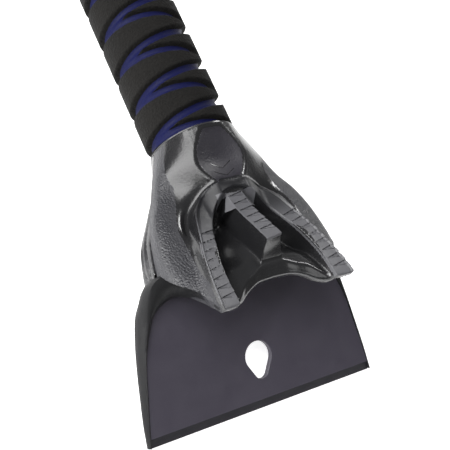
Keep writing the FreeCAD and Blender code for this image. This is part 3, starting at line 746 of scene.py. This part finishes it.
# The blade frame's flange, from the rib tip to the blade's front corner. Each row is one section: the
# foot of its inner wall, its crest against the cheek and its outer rim, as (across, up the blade, out
# of the blade's face).
FLANGE_STATIONS = [0, 1, 3, 4, 5, 6, 7, 8, 9, 10, 12, 14]
FLANGE = [
    [(29.0, 47.5, 29.0), (30.0, 49.5, 30.5), (28.0, 52.0, 29.5)],
    [(28.5, 51.0, 18.0), (30.5, 55.0, 22.0), (28.5, 57.0, 20.5)],
    [(31.0, 53.5, 6.0), (31.5, 61.0, 10.0), (29.0, 62.5, 8.0)],
    [(33.0, 54.0, 2.0), (34.0, 63.5, 9.5), (34.5, 62.5, -1.0)],
    [(36.0, 53.0, 0), (39.0, 63.5, 7.5), (40.5, 60.5, -3.0)],
    [(40.0, 51.0, 0), (43.0, 60.5, 5.5), (43.5, 57.5, -4.0)],
    [(43.0, 48.0, 0), (45.0, 54.5, 3.0), (46.0, 53.5, -4.0)],
    [(45.0, 44.0, 0), (46.0, 47.0, 1.5), (48.0, 49.0, -4.5)],
    [(47.0, 39.0, 0), (47.5, 40.5, 1.0), (49.6, 42.5, -4.5)],
    [(48.8, 33.0, 0), (49.1, 33.7, 0.7), (51.0, 34.5, -4.5)],
    [(52.4, 12.0, 0), (52.7, 12.0, 0.3), (54.3, 12.0, -2.6)],
    [(54.1, 0.4, 0), (54.4, 0.4, 0.1), (55.0, 0.4, -2.3)],
]
FLANGE_ROWS = 130
WALL_HEIGHT = 1.0
# Right half of the tray under the blade, as (across, up), and its top and bottom out of the face.
TRAY_CORNERS = [(48, 45), (44, 53), (39, 59), (30, 66)]
TRAY_FACES = (-BLADE_THICKNESS - 0.05, -5.1)


def add_blade_frame():
    """Sweeps the flange's section along both of its edges, and adds the tray under the blade."""
    at = np.linspace(0, FLANGE_STATIONS[-1], FLANGE_ROWS)
    inner, crest, rim = [from_blade(flow(FLANGE_STATIONS, line, at)) for line in zip(*FLANGE)]
    lift = from_blade([(0, 0, 1)])[0] - from_blade([(0, 0, 0)])[0]
    route = np.gradient(inner + crest, axis=0)

    def arched(start, end, rise, steps):
        """Points from one edge to the other, bulging outwards."""
        across = end - start
        length = np.linalg.norm(across, axis=1)[:, None]
        outward = np.cross(route, across)
        outward /= np.linalg.norm(outward, axis=1)[:, None]
        outward *= np.where(outward @ (lift + [0.8, 0, 0]) < 0, -1, 1)[:, None]
        shares = np.linspace(0, 1, steps)
        return [start + across * t + outward * length * (rise * 4 * t * (1 - t)) for t in shares]

    wall = WALL_HEIGHT * (step_up(2, 6, at) * (1 - 0.9 * step_up(7, 11, at)))[:, None]
    towards = (crest - inner) / np.linalg.norm(crest - inner, axis=1)[:, None]
    shelf = inner + lift * wall + towards * (0.35 * wall)
    below = inner - lift * 2.3 * step_up(4.0, 6.5, at)[:, None]
    profile = [inner] + arched(shelf, crest, 0.13, 11) + arched(crest, rim, 0.12, 7)[1:]
    profile += [below * 0.7 + rim * 0.3 - lift * 0.3, below]
    rings = np.stack(profile, 1)
    count, around = rings.shape[:2]
    points = rings.reshape(-1, 3)
    quads = [[i * around + j, i * around + (j + 1) % around, (i + 1) * around + (j + 1) % around,
              (i + 1) * around + j] for i in range(count - 1) for j in range(around)]
    caps = [list(range(around)), list(range((count - 1) * around, count * around))]
    right = quads + caps
    left = [[i + len(points) for i in face] for face in right]
    points = np.concatenate([points, points * [-1, 1, 1]])
    left_corners = [(-x, up) for x, up in TRAY_CORNERS]
    outline = left_corners[:1] + TRAY_CORNERS + left_corners[:0:-1]
    sides = len(outline)
    tray = from_blade([(x, up, out) for out in TRAY_FACES for x, up in outline])
    top = len(points)
    below_top = top + sides
    plate = [list(range(top, below_top)), list(range(below_top, below_top + sides))]
    for i in range(sides):
        j = (i + 1) % sides
        plate.append([top + i, top + j, below_top + j, below_top + i])
    points = np.concatenate([points, tray])
    piece = make_piece("blade_frame", points, right + left + plate, [FRAME_BLACK], sharp=40)
    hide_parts("blade_carrier")


def hole_outline():
    """Teardrop: two arcs joined by their outer tangents, as (across, up)."""
    (big, big_up), (small, small_up) = HOLE_LARGE, HOLE_SMALL
    lean = math.asin((big - small) / (big_up - small_up))
    top = [(big * math.cos(a), big_up + big * math.sin(a)) for a in np.linspace(-lean, math.pi + lean, 33)]
    low = [(small * math.cos(a), small_up + small * math.sin(a))
           for a in np.linspace(math.pi + lean, 2 * math.pi - lean, 17)]
    return top + low


def blade_outline(inset=0.0):
    """Outline of the blade from its front left corner, as (across, up)."""
    def half(up):
        return BLADE_WIDTH / 2 - BLADE_INSET - BLADE_TAPER * up - inset

    right = [(half(0), 0.0), (half(20), 20.0), (half(47), 47.0), (44.2 - inset, 54.0), (39.6 - inset, 60.5),
             (34.0 - inset, 66.0), (29.4 - inset, BLADE_LENGTH - inset)]
    return [(-x, up) for x, up in right][::-1] + right


BLADE_RIM = 0.25
HOLE_FLARE = 1.035


def add_blade():
    """Plate with a bevelled front edge, a softened rim and a teardrop hole."""
    rim = BLADE_RIM
    lip = BEVEL_LIP - BLADE_THICKNESS
    outline = blade_outline()
    inset = blade_outline(rim)
    front = [i for i, (x, up) in enumerate(outline) if up == 0]
    top = [(x, BEVEL_LENGTH if i in front else up, 0.0) for i, (x, up) in enumerate(inset)]
    shoulder = [(x, up, lip if i in front else -rim) for i, (x, up) in enumerate(outline)]
    foot = [(x, up, rim - BLADE_THICKNESS) for x, up in outline]
    sole = [(x, max(up, rim), -BLADE_THICKNESS) for x, up in inset]
    hole = hole_outline()
    centre = np.array([0, (HOLE_LARGE[1] + HOLE_SMALL[1]) / 2])
    wide = [tuple(centre + (np.array(p) - centre) * HOLE_FLARE) for p in hole]
    work = bmesh.new()

    def loop(points):
        verts = [work.verts.new(p) for p in place(from_blade(points))]
        for a, b in zip(verts, verts[1:] + verts[:1]):
            work.edges.new((a, b))
        return verts

    def wall(a, b, dark=()):
        """Quads between two loops; those between the listed dark corners take the bevel's darker colour,
        which is painted shade.
        """
        for i in range(len(a)):
            j = (i + 1) % len(a)
            face = work.faces.new((a[i], a[j], b[j], b[i]))
            face.material_index = int(i in dark and j in dark)

    def fill(*loops):
        edges = [work.edges.get((a, b)) for verts in loops for a, b in zip(verts, verts[1:] + verts[:1])]
        bmesh.ops.triangle_fill(work, use_beauty=True, edges=edges)

    rims = [loop(p) for p in (top, shoulder, foot, sole)]
    bores = [loop([(x, up, out) for x, up in ring]) for ring, out in
             ((wide, 0.0), (hole, -rim), (hole, rim - BLADE_THICKNESS), (wide, -BLADE_THICKNESS))]
    # The front bevel's faces take the darker colour, painted shade.
    wall(rims[0], rims[1], front)
    for rings in (rims[1:], bores):
        for a, b in zip(rings, rings[1:]):
            wall(a, b)
    fill(rims[0], bores[0])
    fill(rims[3], bores[3])
    bmesh.ops.recalc_face_normals(work, faces=work.faces)
    mesh = bpy.data.meshes.new("scraper_blade")
    work.to_mesh(mesh)
    work.free()
    mesh.materials.append(BLADE_FINISH)
    mesh.materials.append(BLADE_BEVEL_PAINTED_SHADE)
    mesh.shade_smooth()
    mesh.set_sharp_from_angle(angle=math.radians(20))
    piece = bpy.data.objects.new("scraper_blade", mesh)
    bpy.context.scene.collection.objects.link(piece)
    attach(piece, "root")
    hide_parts("blade")


def tube_of(name, stations, radius_at, around, material, sharp=60):
    """A closed surface round the handle's axis; radius_at takes angles and stations."""
    angle = np.linspace(0, 2 * math.pi, around, endpoint=False)
    a, y = np.meshgrid(angle, stations)
    r = radius_at(a, y)
    points = np.stack([r * np.cos(a), y, r * np.sin(a)], -1).reshape(-1, 3)
    rows = len(stations)
    i, j = np.meshgrid(np.arange(rows - 1), np.arange(around), indexing="ij")
    i, j = i.ravel(), j.ravel()
    k = (j + 1) % around
    row = i * around
    after = row + around
    faces = np.stack([row + j, row + k, after + k, after + j], 1).tolist()
    ends = np.array([[0, stations[0], 0], [0, stations[-1], 0]])
    first = len(points)
    faces += [[first, n, (n + 1) % around] for n in range(around)]
    base = (rows - 1) * around
    faces += [[first + 1, base + (n + 1) % around, base + n] for n in range(around)]
    return make_piece(name, np.concatenate([points, ends]), faces, [material], sharp=sharp)


def turned(name, profile, material, around=96, sharp=40):
    """A lathe-turned piece from (radius, y) corners; a corner may share its y with the next."""
    radii = np.array([p[0] for p in profile])
    stations = np.array([p[1] for p in profile])

    def radius_at(a, y):
        return np.repeat(radii[:, None], a.shape[1], 1)

    return tube_of(name, stations, radius_at, around, material, sharp)


GROOVE_PERIOD = 18.3
GROOVE_FIRST = 4.1
GROOVE_DEPTH = 3.5
GROOVE_HALF = 1.15
GROOVE_EDGE = 1.35
BRANCH_HALF = 1.0
# Half widths and depth of the dished blue foam under the grooves.
DISH_MAIN = 2.0
DISH_BRANCH = 1.9
DISH_DEPTH = 0.9
FOAM_END = 1.2
# Courses of the two grooves round the handle: (degrees from the right side, rise along the handle).
MAIN_COURSE = [(0, 13.2), (35, 10.4), (49, 8.6), (90, 5.6), (143, 2.6), (170, 1.0), (193, 0.0), (270, -2.2),
               (360, -5.1)]
BRANCH_COURSE = [(0, -4.6), (30, -4.0), (58, -2.9), (95, -1.9), (143, -0.8), (170, -0.3), (193, 0.0),
                 (360, 0.0)]


def groove_offsets(angle, y):
    """Distances along the handle from the nearest main and branch grooves, and how deep the branch is."""
    turn = np.degrees(angle) % 360
    offsets = []
    for course in (MAIN_COURSE, BRANCH_COURSE):
        away = y - GROOVE_FIRST - along(course, turn) + GROOVE_PERIOD / 2
        offsets.append(away % GROOVE_PERIOD - GROOVE_PERIOD / 2)
    fade = step_up(32, 58, turn) * (1 - step_up(205, 240, turn))
    return offsets[0], offsets[1], fade


def foam_cover(angle, y):
    """Radius of the black sleeve: grooved, with rounded ends."""
    main, branch, fade = groove_offsets(angle, y)
    depth = GROOVE_DEPTH * (1 - step_up(GROOVE_HALF, GROOVE_HALF + GROOVE_EDGE, np.abs(main)))
    side = GROOVE_DEPTH * (1 - step_up(BRANCH_HALF, BRANCH_HALF + GROOVE_EDGE, np.abs(branch))) * fade
    end = np.clip(np.minimum(y - GRIP_START, GRIP_END - y) / FOAM_END, 0, 1)
    return GRIP_RADIUS - np.maximum(depth, side) - (1 - np.sqrt(np.clip(1 - (1 - end) ** 2, 0, 1)))


def foam_core(angle, y):
    """Radius of the blue sleeve: dished where the grooves show it."""
    main, branch, fade = groove_offsets(angle, y)
    under_main = np.clip(1 - (main / DISH_MAIN) ** 2, 0, 1)
    under_branch = np.clip(1 - (branch / DISH_BRANCH) ** 2, 0, 1) * fade
    return CORE_RADIUS - DISH_DEPTH * np.maximum(under_main, under_branch)


def add_grip():
    """Black foam sleeve over the blue one."""
    rows = 400
    around = 240
    outer = np.linspace(GRIP_START + 0.05, GRIP_END - 0.05, rows)
    inner = np.linspace(GRIP_START + 0.6, GRIP_END - 0.6, rows)
    cover = tube_of("foam_grip_cover", outer, foam_cover, around, FOAM_BLACK)
    core = tube_of("foam_grip_core", inner, foam_core, around, FOAM_BLUE)
    sleeves = [(cover, "grip_cover_foam", "foam_black"), (core, "grip_core_foam", "foam_blue")]
    for piece, stands_for, slot in sleeves:
        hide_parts(stands_for)


def add_collar():
    """Thin ring between the neck and the grip."""
    r = COLLAR_RADIUS
    end = COLLAR_LENGTH
    ring = turned("neck_collar", [(r - 4, 0.0), (r - 0.1, 0.0), (r + 0.15, 0.2), (r + 0.15, end - 0.25),
                                  (r - 0.1, end - 0.05), (r - 4, end)], RING)
    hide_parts("collar_ring")


# The scoop's chevrons: apexes forward of the collar, half width, and how far the ends lie back.
CHEVRON_APEXES = (17.8, 21.6)
CHEVRON_HALF = 4.6
CHEVRON_BACK = 2.6
# Section of a chevron's ridge: (forward, height above the scoop's floor).
CHEVRON_RIDGE = [(-0.22, -0.25), (-0.12, 0.14), (0.12, 0.14), (0.22, -0.25)]


def add_scoop_marks():
    """Two faint raised chevrons on the scoop's floor, each a ridge along a bent line."""
    share = np.linspace(-1, 1, 25)
    points, faces = [], []
    for apex in CHEVRON_APEXES:
        first = len(points)
        for t in share:
            for ahead, rise in CHEVRON_RIDGE:
                x = CHEVRON_HALF * t
                forward = apex - CHEVRON_BACK * abs(t) + ahead
                floor = along(SCOOP_FLOOR, np.array([forward]))[0] + SCOOP_CURVE * x * x
                points.append((x, -forward, floor + rise))
        last = first + 4 * (len(share) - 1)
        faces += [[i + j, i + (j + 1) % 4, i + 4 + (j + 1) % 4, i + 4 + j] for i in range(first, last, 4)
                  for j in range(4)]
        faces += [list(range(first, first + 4)), list(range(last, last + 4))]
    marks = make_piece("scoop_chevrons", np.array(points), faces, [GLOSS])


# Turned grooves round the cap: where each starts past the grip, and its profile as (depth, along).
CAP_GROOVES = (3.0, 5.5, 8.0)
CAP_GROOVE_PROFILE = [(0, 0), (0.5, 0.3), (0.5, 1.0), (0, 1.3)]


def add_end_cap():
    """Turned cap with three shallow grooves and a screw recess in its face."""
    r = CAP_RADIUS
    edge = [(r - CAP_EDGE * (1 - math.cos(a)), CAP_END - CAP_EDGE * (1 - math.sin(a)))
            for a in np.linspace(0, math.pi / 2, 9)]
    bands = []
    for start in CAP_GROOVES:
        bands += [(r - depth, GRIP_END + start + ahead) for depth, ahead in CAP_GROOVE_PROFILE]
    profile = [(r - 6, GRIP_END + 0.02), (r - 0.4, GRIP_END + 0.02), (r, GRIP_END + 0.4)] + bands + edge
    profile += [(12.5, CAP_END), (12.0, CAP_END - 0.5), (4.4, CAP_END - 0.5), (4.2, CAP_END - 1.8)]
    cap = turned("end_cap_body", profile, CAP_BLACK)
    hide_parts("end_cap")


def dress_cad():
    """Finishes for the CAD nodes that stay visible or lie inside."""
    finishes = {"handle_tube": ALLOY, "head_plug": PLUG_GREY, "tail_plug": PLUG_GREY,
                "end_cap_screw": STEEL, "blade_screws": STEEL, "shell_screws": STEEL, "neck_screws": STEEL}
    for name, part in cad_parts.items():
        chosen = finishes.get(name, CRADLE)
        if not part.material_slots:
            part.data.materials.append(chosen)
        for slot in part.material_slots:
            slot.link = "OBJECT"
            slot.material = chosen


# ---- Floor, light and camera, metres and watts ----

FLOOR_HALF = 4.0
FLOOR_GLOW = 0.8
WORLD_GLOW = 0.16
LIGHT_TARGET = (0, -0.09, 0.04)
# Each light: (name, spot, size, power).
LIGHTS = [
    ("key", (-0.44, 0.20, 0.86), (0.55, 0.8), 7.5),
    ("side", (-0.90, 0.10, 0.46), (0.6, 0.6), 11),
    ("back", (0.62, 0.28, 0.50), (0.14, 0.26), 1.8),
    ("fill", (-0.2, -0.9, 0.9), (0.8, 0.5), 2),
]
CAMERA_SPOT = (-0.18603, -0.17707, 0.32768)
CAMERA_TURN = (27.178, -23.064, -24.270)
CAMERA_LENS = 72.24


def add_floor():
    """Pale floor, lit a little from within so that shadows on it stay faint."""
    shader = FLOOR_WHITE.node_tree.nodes["Principled BSDF"]
    shader.inputs["Emission Color"].default_value = (1, 1, 1, 1)
    shader.inputs["Emission Strength"].default_value = FLOOR_GLOW
    mesh = bpy.data.meshes.new("floor")
    corners = [(FLOOR_HALF * x, FLOOR_HALF * y, 0) for x, y in ((-1, -1), (1, -1), (1, 1), (-1, 1))]
    mesh.from_pydata(corners, [], [(0, 1, 2, 3)])
    mesh.materials.append(FLOOR_WHITE)
    floor = bpy.data.objects.new("floor", mesh)
    bpy.context.scene.collection.objects.link(floor)


def add_light(name, spot, size, power):
    """A soft rectangular light, turned to the head."""
    lamp = bpy.data.lights.new(name, "AREA")
    lamp.shape = "RECTANGLE"
    lamp.size, lamp.size_y = size
    lamp.energy = power
    light = bpy.data.objects.new(name, lamp)
    light.location = spot
    light.rotation_euler = (Vector(LIGHT_TARGET) - Vector(spot)).to_track_quat("-Z", "Y").to_euler()
    bpy.context.scene.collection.objects.link(light)


def add_lights():
    """Studio lights and an even, dim sky."""
    for light in LIGHTS:
        add_light(*light)
    world = bpy.data.worlds.new("studio")
    world.use_nodes = True
    background = world.node_tree.nodes["Background"]
    background.inputs["Color"].default_value = (1, 1, 1, 1)
    background.inputs["Strength"].default_value = WORLD_GLOW
    bpy.context.scene.world = world
    bpy.context.scene.view_settings.view_transform = "Standard"


def add_camera():
    """Camera on the toothed side, ahead of the blade's left corner."""
    data = bpy.data.cameras.new("camera")
    data.lens = CAMERA_LENS
    data.sensor_width = 36.0
    data.clip_start = 0.01
    camera = bpy.data.objects.new("camera", data)
    camera.location = CAMERA_SPOT
    camera.rotation_euler = Euler([math.radians(a) for a in CAMERA_TURN], "XYZ")
    bpy.context.scene.collection.objects.link(camera)
    bpy.context.scene.camera = camera


add_head()
add_blade_frame()
add_blade()
add_grip()
add_collar()
add_end_cap()
add_scoop_marks()
dress_cad()
add_floor()
add_lights()
add_camera()

bpy.context.view_layer.update()
